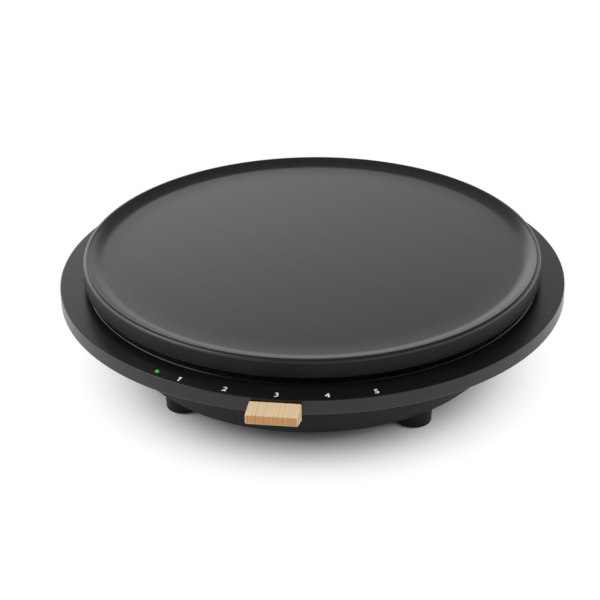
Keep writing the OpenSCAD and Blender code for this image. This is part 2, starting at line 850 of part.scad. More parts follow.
module thermostat_bracket() {
    web_z = thermostat_z - bracket_t;
    color(steel_c)
    difference() {
        union() {
            translate([-bracket_leg_x, -bracket_w / 2, web_z])
                cube([2 * bracket_leg_x, bracket_w, bracket_t]);
            for (side = [-1, 1]) {
                translate([side * (bracket_leg_x - bracket_t / 2) - bracket_t / 2, -bracket_w / 2, web_z])
                    cube([bracket_t, bracket_w, plate_pad_z - web_z]);
                translate([side > 0 ? bracket_leg_x - bracket_t : -bracket_leg_x - bracket_foot_l,
                    -bracket_w / 2, plate_pad_z - bracket_t])
                    cube([bracket_foot_l + bracket_t, bracket_w, bracket_t]);
            }
        }
        bore(bushing_r + seat_fit, web_z, bracket_t);
        for (side = [-1, 1])
            translate([side * bracket_screw_x, 0, 0])
                bore(small_screw_r + hole_fit, plate_pad_z - bracket_t, bracket_t);
    }
}

module bracket_screws() {
    color(steel_c)
    for (side = [-1, 1])
        translate([side * bracket_screw_x, 0, plate_pad_z - bracket_t])
            screw(small_screw_r, bracket_t + small_grip, small_head_r, small_head_h);
}

module thermostat_spindle() {
    color(steel_c) {
        translate([0, 0, arm_top_z])
            cylinder(r = spindle_r, h = spindle_bore_top_z - spindle_tip_gap - arm_top_z);
        translate([0, 0, arm_top_z - stub_h]) cylinder(r = stub_r, h = stub_h + bite);
    }
}

module spindle_nut() {
    color(steel_c)
    translate([0, 0, arm_z - nut_h])
        difference() {
            cylinder(r = nut_r, h = nut_h, $fn = 6);
            bore(stub_r + thread_fit, 0, nut_h);
        }
}

// ---- slider ----

module slider_arm() {
    color(steel_c)
    difference() {
        translate([0, 0, arm_z])
            linear_extrude(arm_t) {
                circle(r = hub_r);
                translate([-arm_w / 2, -arm_end_r]) square([arm_w, arm_end_r]);
            }
        bore(stub_r + thread_fit, arm_z, arm_t);
        for (side = [-1, 1])
            translate([side * knob_screw_x, -knob_screw_seat_r, 0])
                bore(knob_screw_r + hole_fit, arm_z, arm_t);
    }
}

// The knob's side view: y is counted outward from its back face, z is the height
module knob_profile() {
    b = knob_bevel;
    slope = [1, knob_rise] / norm([1, knob_rise]);
    polygon([[0, knob_back_z + b], [0, knob_top_z - b], [b, knob_top_z], [knob_l - b, knob_top_z],
        [knob_l, knob_top_z - b], [knob_l, knob_front_z + b],
        [knob_l - b * slope[0], knob_front_z - b * slope[1]], [b, knob_back_z + b * knob_rise]]);
}

module slider_knob() {
    b = knob_bevel;
    half = knob_w / 2;
    depth = knob_l + 2 * cut;
    height = knob_back_h + 2 * cut;
    color(wood_c)
    difference() {
        intersection() {
            translate([-half, -knob_back_r, 0])
                rotate([90, 0, 90])
                    mirror([1, 0, 0])
                        linear_extrude(knob_w) knob_profile();
            // Bevels along the knob's two sides, seen from the front and from above
            translate([0, -knob_back_r + cut, knob_back_z])
                rotate([90, 0, 0])
                    linear_extrude(depth)
                        polygon([[-half, -cut], [half, -cut], [half, knob_back_h - b],
                            [half - b, knob_back_h], [b - half, knob_back_h], [-half, knob_back_h - b]]);
            translate([0, -knob_back_r, knob_back_z - cut])
                linear_extrude(height)
                    polygon([[b - half, 0], [-half, -b], [-half, b - knob_l], [b - half, -knob_l],
                        [half - b, -knob_l], [half, b - knob_l], [half, -b], [half - b, 0]]);
        }
        // Seat for the arm in the knob's underside
        translate([-arm_w / 2 - arm_side_gap, -arm_end_r - arm_side_gap, knob_back_z - cut])
            cube([arm_w + 2 * arm_side_gap, arm_seat_l + arm_side_gap + cut,
                arm_top_z - knob_back_z + cut]);
        for (side = [-1, 1])
            translate([side * knob_screw_x, -knob_screw_seat_r, arm_top_z - cut])
                cylinder(r = knob_screw_r + thread_fit, h = knob_screw_l + 2 * cut);
    }
}

module knob_screws() {
    color(steel_c)
    for (side = [-1, 1])
        translate([side * knob_screw_x, -knob_screw_seat_r, arm_z])
            screw(knob_screw_r, arm_t + knob_screw_l, knob_screw_head_r, knob_screw_head_h);
}

// ---- indicator ----

module indicator_lens() {
    color(green_c)
    place(lamp_az, lamp_ring_r)
        rotate_extrude()
            polygon(concat(
                [[0, top_wall_z - lens_flange_h], [lens_flange_r, top_wall_z - lens_flange_h],
                [lens_flange_r, top_wall_z], [lens_r, top_wall_z]],
                arc([0, flange_z - lens_dome_drop], lens_r, 0, 90)));
}

module indicator_lamp() {
    base_z = board_z + board_t;
    color(green_c)
    place(lamp_az, lamp_ring_r, base_z)
        cylinder(r = lamp_r, h = top_wall_z - lens_flange_h - base_z);
}

module lamp_board() {
    color(board_c)
    place(lamp_az, board_ring_r, board_z)
        translate([-board_l / 2, -board_w / 2, 0]) cube([board_l, board_w, board_t]);
}

// ---- thermal fuse ----

module thermal_fuse() {
    color(ceramic_c)
    translate([fuse_x, 0, fuse_z])
        rotate([90, 0, 0]) {
            cylinder(r = fuse_r, h = fuse_l, center = true);
            cylinder(r = fuse_lead_r, h = fuse_l + 2 * fuse_lead_l, center = true);
        }
}

module fuse_clip() {
    in_r = fuse_r + seat_fit;
    out_r = in_r + clip_t;
    top = plate_pad_z - fuse_z;
    color(steel_c)
    difference() {
        translate([fuse_x, clip_l / 2, fuse_z])
            rotate([90, 0, 0])
                linear_extrude(clip_l) {
                    difference() {
                        circle(r = out_r);
                        circle(r = in_r);
                        translate([-out_r - cut, 0]) square([2 * (out_r + cut), out_r + cut]);
                    }
                    translate([in_r, -bite]) square([clip_t, top + bite]);
                    translate([-out_r, -bite]) square([clip_t, top + bite]);
                    translate([-out_r - clip_tab_l, top - clip_t]) square([clip_tab_l + bite, clip_t]);
                }
        translate([fuse_screw_x, 0, 0]) bore(small_screw_r + hole_fit, plate_pad_z - clip_t, clip_t);
    }
}

module fuse_screw() {
    color(steel_c)
    translate([fuse_screw_x, 0, plate_pad_z - clip_t])
        screw(small_screw_r, clip_t + small_grip, small_head_r, small_head_h);
}

// ---- terminal block and gland ----

module terminal_block() {
    color(ceramic_c)
    difference() {
        translate([-block_l / 2, block_front_y, block_z]) cube([block_l, block_w, block_h]);
        for (x = pole_xs) {
            translate([x, block_front_y - cut, pole_z])
                rotate([-90, 0, 0]) cylinder(r = pole_hole_r, h = block_w + 2 * cut);
            translate([x, block_y, pole_z]) cylinder(r = clamp_r + thread_fit, h = block_h);
        }
        for (side = [-1, 1])
            translate([side * block_screw_x, block_y, 0]) bore(small_screw_r + hole_fit, block_z, block_h);
    }
}

module clamp_screws() {
    color(brass_c)
    for (x = pole_xs)
        translate([x, block_y, block_z + block_h - clamp_l])
            difference() {
                cylinder(r = clamp_r, h = clamp_h);
                translate([-clamp_r - cut, -clamp_slot_w / 2, clamp_h - clamp_slot_h])
                    cube([2 * (clamp_r + cut), clamp_slot_w, clamp_slot_h + cut]);
            }
}

module block_screws() {
    color(steel_c)
    for (side = [-1, 1])
        translate([side * block_screw_x, block_y, block_z + block_h])
            mirror([0, 0, 1])
                screw(small_screw_r, block_h + small_grip, small_head_r, small_head_h);
}

module cord_gland() {
    color(rubber_c)
    difference() {
        translate([0, 0, gland_z])
            rotate([-90, 0, 0]) {
                translate([0, 0, spout_in_y]) cylinder(r = gland_neck_r, h = spout_l);
                translate([0, 0, spout_end_y])
                    cylinder(r1 = gland_flange_r, r2 = gland_flange_r - gland_taper, h = gland_flange_t);
                translate([0, 0, spout_in_y - gland_lock_t])
                    cylinder(r1 = gland_neck_r, r2 = gland_lock_r, h = gland_lock_t);
            }
        translate([0, spout_in_y - gland_lock_t - cut, gland_z])
            rotate([-90, 0, 0])
                cylinder(r = cord_bore_r, h = gland_lock_t + spout_l + gland_flange_t + 2 * cut);
    }
}

// ---- wires ----

element_end_x = ring_r * sin(element_gap_a) - element_bend * cos(element_gap_a);
element_end_y = ring_r * cos(element_gap_a) + element_bend * sin(element_gap_a);
pole_y = block_front_y - wire_end_gap;
thermostat_tab_y = tower_y + thermostat_tab_l + wire_end_gap;
fuse_end_y = fuse_l / 2 + fuse_lead_l + wire_end_gap;
tab_low_z = tab_end_z - wire_end_gap;

live_route = [[pole_xs[2], pole_y, pole_z], [pole_xs[2], pole_y - 8, 31], [4, 74, 36], [-2, 48, 49],
    [-6, 35, 60], [-6, 31, 66], [-thermostat_tab_x, thermostat_tab_y, thermostat_tab_z]];
neutral_route = [[pole_xs[1], pole_y, pole_z], [pole_xs[1] - 1, pole_y - 8, 29], [-13, pole_y - 15, 27],
    [-21, pole_y - 17, 28], [-element_end_x, element_end_y - 1, 34],
    [-element_end_x, element_end_y, tab_low_z]];
earth_route = [[pole_xs[3], pole_y, pole_z], [pole_xs[3], pole_y - 8, 32], [19, pole_y - 20, 34],
    [20, 72, 39], [earth_x, 66, 45], [earth_x, earth_tab_y, earth_end_z - wire_end_gap]];
fuse_route = [[thermostat_tab_x, thermostat_tab_y, thermostat_tab_z], [8, 32, 67], [20, 38, 69],
    [42, 36, 71], [58, 28, 74], [fuse_x, fuse_end_y, fuse_z]];
element_route = [[fuse_x, -fuse_end_y, fuse_z], [57, -28, 73], [42, -28, 67], [29, -17, 60],
    [29, 4, 48], [33, 40, 34], [32, 72, 29], [26, 87, 30], [element_end_x, element_end_y - 1, 35],
    [element_end_x, element_end_y, tab_low_z]];
lamp_route = [[pole_xs[0], pole_y, pole_z], [pole_xs[0] - 2, pole_y - 8, 30],
    [-38, pole_y - 14, 24], [-72, 66, 21], [-98, 24, 21], [-96, -24, 21], [-86, -50, 21],
    [-70, -68, 21], [-63, -90, 24],
    at(lamp_az - 3.5, throat_r - 29, 35), at(lamp_az - 2, throat_r - 12, 48),
    at(lamp_az - 1, throat_r - 5, 56), at(lamp_az, throat_r - lamp_turn, lamp_wire_z),
    at(lamp_az, throat_r + wall + lamp_turn, lamp_wire_z),
    at(lamp_az, board_ring_r - board_l / 2 - wire_end_gap, lamp_wire_z)];

module wire_live() {
    color(live_c) tube(route(live_route), wire_d / 2, [1, 0, 0]);
}
module wire_neutral() {
    color(neutral_c) tube(route(neutral_route), wire_d / 2, [0.5, 0.3, 1]);
}
module wire_earth() {
    color(earth_c) tube(route(earth_route), wire_d / 2, [1, 0, 0]);
}
module wire_fuse() {
    color(hot_wire_c) tube(route(fuse_route), wire_d / 2, [0, 0, 1]);
}
module wire_element() {
    color(hot_wire_c) tube(route(element_route), wire_d / 2, [1, 0, 0.5]);
}
module lamp_lead() {
    color(sleeve_c) tube(route(lamp_route), lamp_lead_d / 2, [0.6, 0.2, 1]);
}

cooking_plate();
heating_element();
element_insulators();
element_terminals();
heat_reflector();
plate_spacers();
plate_screws();
top_housing();
bottom_housing();
housing_screws();
foot_front_left();
foot_front_right();
foot_back_left();
foot_back_right();
pad_front_left();
pad_front_right();
pad_back_left();
pad_back_right();
thermostat_body();
thermostat_terminals();
thermostat_bracket();
bracket_screws();
thermostat_spindle();
spindle_nut();
slider_arm();
slider_knob();
knob_screws();
indicator_lens();
indicator_lamp();
lamp_board();
lamp_lead();
thermal_fuse();
fuse_clip();
fuse_screw();
terminal_block();
clamp_screws();
block_screws();
cord_gland();
earth_tab();
earth_rivet();
wire_live();
wire_neutral();
wire_earth();
wire_fuse();
wire_element();
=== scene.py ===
"""Looks of the electric crepe maker: finishes, wooden knob, printed numbers, light and camera.

Metres, +Z up, origin on the table under the plate's centre, slider towards -Y.
Azimuths are counted from the front (-Y), positive towards +X, as in the part's source.
"""

import math

import bmesh
import bpy
from mathutils import Matrix, Vector


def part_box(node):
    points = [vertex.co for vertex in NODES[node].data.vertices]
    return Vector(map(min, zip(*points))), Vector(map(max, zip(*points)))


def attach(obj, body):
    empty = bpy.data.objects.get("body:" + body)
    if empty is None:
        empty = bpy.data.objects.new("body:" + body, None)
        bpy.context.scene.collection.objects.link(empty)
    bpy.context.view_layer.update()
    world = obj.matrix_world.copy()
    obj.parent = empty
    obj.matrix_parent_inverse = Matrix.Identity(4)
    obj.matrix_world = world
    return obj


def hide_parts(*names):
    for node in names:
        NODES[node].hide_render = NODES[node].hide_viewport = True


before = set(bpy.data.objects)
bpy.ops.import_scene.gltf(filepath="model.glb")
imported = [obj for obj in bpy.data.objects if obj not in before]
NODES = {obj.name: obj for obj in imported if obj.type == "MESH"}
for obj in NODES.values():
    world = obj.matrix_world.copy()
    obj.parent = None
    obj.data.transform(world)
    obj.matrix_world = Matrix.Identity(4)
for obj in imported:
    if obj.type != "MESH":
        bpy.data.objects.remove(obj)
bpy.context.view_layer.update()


# ---- sizes, read from the frame ----

PLATE_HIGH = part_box("cooking_plate")[1]
FLANGE_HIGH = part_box("top_housing")[1]
KNOB_LOW, KNOB_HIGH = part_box("slider_knob")
ARM_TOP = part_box("slider_arm")[1].z
PLATE_R = PLATE_HIGH.x
# Height of the raised lip round the flange's opening
LIP_BEAD = 0.0008
FLANGE_Z = FLANGE_HIGH.z - LIP_BEAD


def at(azimuth, radius, z):
    """A point on a circle round the plate's axis."""
    a = math.radians(azimuth)
    return Vector((radius * math.sin(a), -radius * math.cos(a), z))


# ---- camera ----

VIEW_AZIMUTH = 7.8
VIEW_ELEVATION = 27.07
VIEW_DISTANCE = 1.412
VIEW_ROLL = -0.6
IMAGE_W = 600
# Where the middle of the flange's top face lies in the photograph
CENTRE_PX = (312.3, 271.4)
LENS_MM = 118.0
SENSOR_MM = 36
CLIP_NEAR = 0.05
CLIP_FAR = 50


def add_camera():
    """Looks at the middle of the flange's top face, from the photograph's side and height."""
    a, e = math.radians(VIEW_AZIMUTH), math.radians(VIEW_ELEVATION)
    target = Vector((0, 0, FLANGE_Z))
    back = Vector((math.sin(a) * math.cos(e), -math.cos(a) * math.cos(e), math.sin(e)))
    data = bpy.data.cameras.new("camera")
    data.lens = LENS_MM
    data.sensor_width = SENSOR_MM
    data.shift_x = (IMAGE_W / 2 - CENTRE_PX[0]) / IMAGE_W
    data.shift_y = (CENTRE_PX[1] - IMAGE_W / 2) / IMAGE_W
    data.clip_start = CLIP_NEAR
    data.clip_end = CLIP_FAR
    camera = bpy.data.objects.new("camera", data)
    turn = (-back).to_track_quat("-Z", "Y").to_matrix().to_4x4()
    roll = Matrix.Rotation(math.radians(VIEW_ROLL), 4, "Z")
    camera.matrix_world = Matrix.Translation(target + back * VIEW_DISTANCE) @ turn @ roll
    bpy.context.scene.collection.objects.link(camera)
    bpy.context.scene.camera = camera


# ---- node helpers ----

class Tree:
    """A short way to build a material's or a world's node tree."""

    def __init__(self, owner):
        owner.use_nodes = True
        self.tree = owner.node_tree
        self.tree.nodes.clear()

    def node(self, kind, inputs=None, **settings):
        made = self.tree.nodes.new(kind)
        for name, value in settings.items():
            setattr(made, name, value)
        for name, value in (inputs or {}).items():
            self.put(made.inputs[name], value)
        return made

    def put(self, socket, value):
        if isinstance(value, bpy.types.NodeSocket):
            self.tree.links.new(value, socket)
        elif isinstance(value, (tuple, list)) and len(value) == 3 and socket.type == "RGBA":
            socket.default_value = (*value, 1)
        else:
            socket.default_value = value

    def math(self, operation, a, b=0.5, c=None):
        made = self.tree.nodes.new("ShaderNodeMath")
        made.operation = operation
        for i, value in enumerate((a, b) if c is None else (a, b, c)):
            self.put(made.inputs[i], value)
        return made.outputs[0]

    def ramp(self, value, stops):
        made = self.node("ShaderNodeValToRGB", {"Fac": value})
        points = made.color_ramp.elements
        while len(points) < len(stops):
            points.new(0.5)
        for point, (position, colour) in zip(points, stops):
            point.position = position
            point.color = (*colour, 1)
        return made.outputs["Color"]

    def mix(self, factor, a, b):
        made = self.tree.nodes.new("ShaderNodeMix")
        made.data_type = "RGBA"
        self.put(made.inputs[0], factor)
        self.put(made.inputs[6], a)
        self.put(made.inputs[7], b)
        return made.outputs[2]

    def band(self, value, edges, ends=(0.0, 1.0), shape="LINEAR"):
        """Goes from one end to the other while the value crosses the band between two edges."""
        inputs = {"Value": value, "From Min": edges[0], "From Max": edges[1],
                  "To Min": ends[0], "To Max": ends[1]}
        return self.node("ShaderNodeMapRange", inputs, interpolation_type=shape).outputs[0]

    def parts(self, vector):
        return self.node("ShaderNodeSeparateXYZ", {"Vector": vector}).outputs

    def length(self, vector):
        return self.node("ShaderNodeVectorMath", {0: vector}, operation="LENGTH").outputs["Value"]

    def seen_by(self, *rays):
        """1 where the ray is of one of these kinds, else 0."""
        kinds = self.node("ShaderNodeLightPath").outputs
        seen = kinds[rays[0]]
        for ray in rays[1:]:
            seen = self.math("MAXIMUM", seen, kinds[ray])
        return seen

    def noise(self, vector, scale, detail=3.0, roughness=0.5):
        inputs = {"Vector": vector, "Scale": scale, "Detail": detail, "Roughness": roughness}
        return self.node("ShaderNodeTexNoise", inputs).outputs["Fac"]

    def place(self, stretch=(1, 1, 1)):
        """The point on the object in metres, stretched."""
        coords = self.node("ShaderNodeTexCoord").outputs["Object"]
        return self.node("ShaderNodeMapping", {"Vector": coords, "Scale": stretch}).outputs[0]

    def bump(self, height, distance, strength=1.0, normal=None):
        inputs = {"Height": height, "Distance": distance, "Strength": strength}
        if normal is not None:
            inputs["Normal"] = normal
        return self.node("ShaderNodeBump", inputs).outputs[0]

    def surface(self, **inputs):
        """The material's shader; an input's spaces are written as underscores."""
        inputs = {name.replace("_", " "): value for name, value in inputs.items()}
        shader = self.node("ShaderNodeBsdfPrincipled", inputs)
        self.output("ShaderNodeOutputMaterial", shader)

    def output(self, kind, shader):
        self.tree.links.new(shader.outputs[0], self.node(kind).inputs[0])

    def either(self, factor, a, b):
        """A mix of two shaders."""
        return self.node("ShaderNodeMixShader", {"Fac": factor, 1: a.outputs[0], 2: b.outputs[0]})


def new_material(name):
    made = bpy.data.materials.new(name)
    return made, Tree(made)


def grey(level):
    return (level, level, level)


# ---- finishes ----

# The plate's grained side begins on the rim's rounded corner; its wall lies below that corner
SIDE_BAND = (PLATE_R - 0.0024, PLATE_R - 0.0008)
WALL_BAND = (PLATE_HIGH.z - 0.0017, PLATE_HIGH.z - 0.0027)
# Painted shade: the plate's wall below the rounded corner gets a darker colour and a dimmed
# reflection, so that it looks shaded
WALL_PAINTED_SHADE = (0.0062, 0.0058, 0.0050)
WALL_SHADE_GLOSS = 0.35
COATING_DARK = (0.0150, 0.0138, 0.0115)
COATING_LIGHT = (0.0185, 0.0172, 0.0145)
COATING_FLECKS = (0.040, 0.038, 0.035)
COATING_ROUGH = 0.19
COATING_IOR = 1.58
SIDE_ROUGHER = 0.08


def coated_casting():
    """Dark satin non-stick coating: smooth where it cooks, with the casting's grain on the side and
    painted shade on its wall.
    """
    made, t = new_material("plate_coating")
    place = t.place()
    flat = t.node("ShaderNodeVectorMath", {0: place, 1: (1, 1, 0)}, operation="MULTIPLY")
    on_side = t.band(t.length(flat.outputs["Vector"]), SIDE_BAND)
    on_shaded_wall = t.math("MULTIPLY", on_side, t.band(t.parts(place)[2], WALL_BAND))
    speckle = t.noise(place, 2600, 2, 0.6)
    cloud = t.noise(place, 14, 3, 0.5)
    colour = t.mix(cloud, COATING_DARK, COATING_LIGHT)
    colour = t.mix(t.math("MULTIPLY", speckle, 0.20), colour, COATING_FLECKS)
    # Painted shade on the wall: a darker colour there
    colour = t.mix(on_shaded_wall, colour, WALL_PAINTED_SHADE)
    base_rough = t.math("MULTIPLY_ADD", on_side, SIDE_ROUGHER, COATING_ROUGH)
    rough = t.math("ADD", t.math("MULTIPLY", cloud, 0.04), base_rough)
    fine = t.bump(speckle, 0.00004, 0.5)
    grain = t.math("MULTIPLY", t.noise(place, 1500, 2, 0.6), on_side)
    # Painted shade on the wall: its reflection is dimmed as well
    t.surface(Base_Color=colour, Roughness=rough, Normal=t.bump(grain, 0.0003, 0.8, fine),
              IOR=COATING_IOR, Specular_Tint=t.mix(on_shaded_wall, grey(1.0), grey(WALL_SHADE_GLOSS)))
    return made


def moulded_plastic(name, dark, light, rough, texture, depth, ior=1.50, gloss=1.0):
    """Moulded plastic with a fine spark-eroded texture and slight clouding."""
    made, t = new_material(name)
    place = t.place()
    cloud = t.noise(place, 22, 3, 0.55)
    grain = t.noise(place, texture, 2, 0.6)
    t.surface(Base_Color=t.mix(cloud, dark, light), IOR=ior, Specular_Tint=grey(gloss),
              Roughness=t.math("ADD", t.math("MULTIPLY", cloud, 0.06), rough),
              Normal=t.bump(grain, depth, 0.6))
    return made


def rubber(name, colour):
    made, t = new_material(name)
    place = t.place()
    grain = t.noise(place, 1500, 3, 0.6)
    dust = t.noise(place, 60, 4, 0.6)
    lighter = tuple(c * 1.6 + 0.01 for c in colour)
    t.surface(Base_Color=t.mix(dust, colour, lighter), Roughness=0.75,
              Normal=t.bump(grain, 0.00005, 0.7))
    return made


def metal(name, colour, rough, stretch=(1, 1, 1)):
    """Metal with fine drawing marks along one way."""
    made, t = new_material(name)
    marks = t.noise(t.place(stretch), 700, 4, 0.6)
    stain = t.noise(t.place(), 40, 4, 0.6)
    darker = tuple(c * 0.72 for c in colour)
    t.surface(Base_Color=t.mix(stain, darker, colour), Metallic=1.0,
              Roughness=t.math("ADD", t.math("MULTIPLY", marks, 0.15), rough - 0.07),
              Normal=t.bump(marks, 0.00003, 0.5))
    return made


def ceramic():
    made, t = new_material("ceramic")
    place = t.place()
    cloud = t.noise(place, 120, 4, 0.6)
    t.surface(Base_Color=t.mix(cloud, (0.62, 0.59, 0.52), (0.74, 0.72, 0.66)), Roughness=0.6,
              Normal=t.bump(t.noise(place, 1800, 3), 0.00005, 0.6))
    return made


# Colours across a growth ring, on the long faces and on the end grain
LONG_GRAIN = [(0.38, (0.44, 0.270, 0.112)), (0.47, (0.71, 0.545, 0.325)),
              (0.68, (0.81, 0.69, 0.475))]
END_GRAIN = [(0.38, (0.36, 0.150, 0.040)), (0.5, (0.68, 0.345, 0.118)),
             (0.70, (0.84, 0.515, 0.22))]
FIBRE_COLOUR = (0.52, 0.35, 0.165)
PORE_COLOUR = (0.32, 0.15, 0.050)
RINGS_PER_MM = 1.3
RING_WANDER_MM = 1.8


def wood():
    """Pale quarter-sawn wood: the growth rings stand upright and run from front to back."""
    made, t = new_material("knob_wood")
    coords = t.node("ShaderNodeTexCoord").outputs["Object"]
    wander = t.math("MULTIPLY", t.noise(t.place((60, 14, 30)), 1.0, 2, 0.5), RING_WANDER_MM)
    across = t.math("ADD", t.math("MULTIPLY", t.parts(coords)[0], 1000.0), wander)
    rings = t.node("ShaderNodeCombineXYZ", {"X": across}).outputs[0]
    ring = t.noise(rings, RINGS_PER_MM, 3, 0.8)
    fibre = t.noise(t.place((5200, 160, 5200)), 1.0, 3, 0.7)
    pores = t.noise(t.place((3600, 500, 3600)), 1.0, 2, 0.5)
    pale = t.mix(t.math("MULTIPLY", fibre, 0.30), t.ramp(ring, LONG_GRAIN), FIBRE_COLOUR)
    end = t.mix(t.math("GREATER_THAN", pores, 0.60), t.ramp(ring, END_GRAIN), PORE_COLOUR)
    turned = t.parts(t.node("ShaderNodeNewGeometry").outputs["True Normal"])
    on_end = t.band(t.math("ABSOLUTE", turned[1]), (0.80, 0.97))
    t.surface(Base_Color=t.mix(on_end, pale, end), Roughness=0.55,
              Normal=t.bump(fibre, 0.00005, 0.5))
    return made


LENS_LIGHT = 0.3


def lens_glow():
    """Green lens lit from behind: brightest in its middle."""
    made, t = new_material("lens_green")
    facing = t.node("ShaderNodeLayerWeight", {"Blend": 0.4}).outputs["Facing"]
    speck = t.noise(t.place(), 3000, 2)
    glow = t.ramp(facing, [(0.0, (0.10, 0.75, 0.10)), (0.6, (0.01, 0.38, 0.02)),
                           (1.0, (0.0, 0.10, 0.0))])
    t.surface(Base_Color=t.mix(speck, (0.01, 0.26, 0.02), (0.03, 0.42, 0.05)), Roughness=0.18,
              Emission_Color=glow, Emission_Strength=LENS_LIGHT)
    return made


def ink():
    """White screen-printed ink with a slightly uneven density."""
    made, t = new_material("white_ink")
    speck = t.noise(t.place(), 1400, 3, 0.6)
    t.surface(Base_Color=t.mix(speck, (0.70, 0.72, 0.74), (0.90, 0.92, 0.94)), Roughness=0.5)
    return made


def circuit_board():
    made, t = new_material("circuit_board")
    tracks = {"Vector": t.place(), "Scale": 300.0, "Mortar Size": 0.03, "Color1": (0.02, 0.13, 0.05),
              "Color2": (0.025, 0.16, 0.06), "Mortar": (0.04, 0.22, 0.09)}
    t.surface(Base_Color=t.node("ShaderNodeTexBrick", tracks).outputs["Color"], Roughness=0.4)
    return made


# ---- pieces ----

def add_object(name, data):
    made = bpy.data.objects.new(name, data)
    bpy.context.scene.collection.objects.link(made)
    return made


def add_piece(name, mesh, material, body):
    made = add_object(name, mesh)
    made.data.materials.append(material)
    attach(made, body)
    return made


def dress(material, *names):
    for name in names:
        slots = NODES[name].data.materials
        slots.clear()
        slots.append(material)


NUMERAL_AZIMUTHS = (-22.0, -11.3, 0.0, 10.7, 21.2)
NUMERAL_R = 0.1748
NUMERAL_H = 0.0052
NUMERAL_BOLD = 0.00004
INK_T = 0.00004
# Height of the font's figures as a share of its size
FONT_CAP = 0.73
# The figure 1 in shares of its height: its stem's half width, its flag's tip and the flag's depth
ONE_STEM = 0.085
ONE_TIP = (-0.29, 0.30)
ONE_FLAG_T = 0.15


def one_outline():
    """The figure 1 as a flat outline about its middle, with a flag that the font's one lacks."""
    stem, top, flag = (share * NUMERAL_H for share in (ONE_STEM, 0.5, ONE_FLAG_T))
    tip_x, tip_y = (share * NUMERAL_H for share in ONE_TIP)
    return [(-stem, -top), (stem, -top), (stem, top), (-stem, top), (tip_x, tip_y),
            (tip_x, tip_y - flag), (-stem, tip_y - flag / 2)]


def figure_curve(figure):
    if figure == 1:
        curve = bpy.data.curves.new("figure", "CURVE")
        curve.dimensions = "2D"
        curve.fill_mode = "BOTH"
        outline = curve.splines.new("POLY")
        corners = one_outline()
        outline.points.add(len(corners) - 1)
        for point, (x, y) in zip(outline.points, corners):
            point.co = (x, y, 0, 1)
        outline.use_cyclic_u = True
    else:
        curve = bpy.data.curves.new("figure", "FONT")
        curve.body = str(figure)
        curve.size = NUMERAL_H / FONT_CAP
        curve.align_x = "CENTER"
        curve.align_y = "CENTER"
        curve.offset = NUMERAL_BOLD
    curve.extrude = INK_T / 2
    return curve


def add_numerals(material):
    """The numbers 1 to 5, printed on the flange with their feet towards its edge."""
    for figure, azimuth in enumerate(NUMERAL_AZIMUTHS, 1):
        curve = figure_curve(figure)
        shape = add_object("shape", curve)
        bpy.context.view_layer.update()
        mesh = bpy.data.meshes.new_from_object(shape)
        bpy.data.objects.remove(shape)
        bpy.data.curves.remove(curve)
        turn = Matrix.Rotation(math.radians(azimuth), 4, "Z")
        mesh.transform(Matrix.Translation(at(azimuth, NUMERAL_R, FLANGE_Z + INK_T / 2)) @ turn)
        mesh.materials.clear()
        add_piece(f"number_{figure}", mesh, material, "base")


KNOB_EDGE = 0.0009
KNOB_EDGE_STEPS = 4
KNOB_FRONT_H = 0.0067
# The seat for the arm's end, cut into the knob's back from below, and its room at both ends
SEAT_W = 0.0144
SEAT_L = 0.0060
SEAT_H = 0.02
SEAT_ROOM = 0.0005


def knob_block():
    """A block with a sloping underside and rounded edges."""
    half = KNOB_HIGH.x
    back, front = KNOB_HIGH.y, KNOB_LOW.y
    top, low = KNOB_HIGH.z, KNOB_LOW.z
    outline = [(back, low), (back, top), (front, top), (front, top - KNOB_FRONT_H)]
    bm = bmesh.new()
    ends = [[bm.verts.new((x, y, z)) for y, z in outline] for x in (-half, half)]
    bm.faces.new(ends[0])
    bm.faces.new(ends[1][::-1])
    for i in range(len(outline)):
        k = (i + 1) % len(outline)
        bm.faces.new((ends[0][k], ends[0][i], ends[1][i], ends[1][k]))
    bmesh.ops.recalc_face_normals(bm, faces=bm.faces)
    rounded = bmesh.ops.bevel(bm, geom=list(bm.edges), offset=KNOB_EDGE, segments=KNOB_EDGE_STEPS,
                              profile=0.5, affect="EDGES", clamp_overlap=True)
    for face in rounded["faces"]:
        face.smooth = True
    return finished_mesh(bm, "slider_knob_block")


def seat_block():
    """The space that the arm's end takes up."""
    middle = Matrix.Translation((0, KNOB_HIGH.y - SEAT_L / 2, ARM_TOP - SEAT_H / 2))
    size = Matrix.Diagonal((SEAT_W, SEAT_L + 2 * SEAT_ROOM, SEAT_H, 1))
    bm = bmesh.new()
    bmesh.ops.create_cube(bm, size=1, matrix=middle @ size)
    return finished_mesh(bm, "seat")


def finished_mesh(bm, name):
    mesh = bpy.data.meshes.new(name)
    bm.to_mesh(mesh)
    bm.free()
    return mesh


def add_knob(material):
    """The slider's wooden knob with its seat for the arm, in place of the plain CAD block."""
    block = add_piece("slider_knob_block", knob_block(), material, "slider")
    cutter = add_object("seat", seat_block())
    cut = block.modifiers.new("seat", "BOOLEAN")
    cut.operation = "DIFFERENCE"
    cut.object = cutter
    cut.solver = "EXACT"
    bpy.context.view_layer.update()
    seated = block.evaluated_get(bpy.context.evaluated_depsgraph_get())
    made = bpy.data.meshes.new_from_object(seated)
    block.modifiers.clear()
    block.data = made
    bpy.data.objects.remove(cutter)
    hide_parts("slider_knob")


# ---- stage ----

FLOOR_R = 14.0
FLOOR_SIDES = 96
FLOOR_WHITE = 0.93
# Added to the floor's colour where it is seen, so that the paper comes out white
FLOOR_LIFT = 0.1
# Distances from the axis between which the paper fades from its shaded colour to plain white
FLOOR_FADE = (0.107, 0.178)

# The studio round the object: each band of a direction's part goes from one strength to another.
# It is bright behind, dim in front and overhead, stronger at the left and weaker at the skyline.
STUDIO_DEPTH = ((-0.1, 0.8), (0.12, 1.50))
STUDIO_HEIGHT = ((0.39, 0.51), (1.0, 0.10))
STUDIO_SIDE = ((-0.30, 0.04), (1.15, 0.66))
STUDIO_SKYLINE = ((0.05, 0.36), (0.55, 1.0))
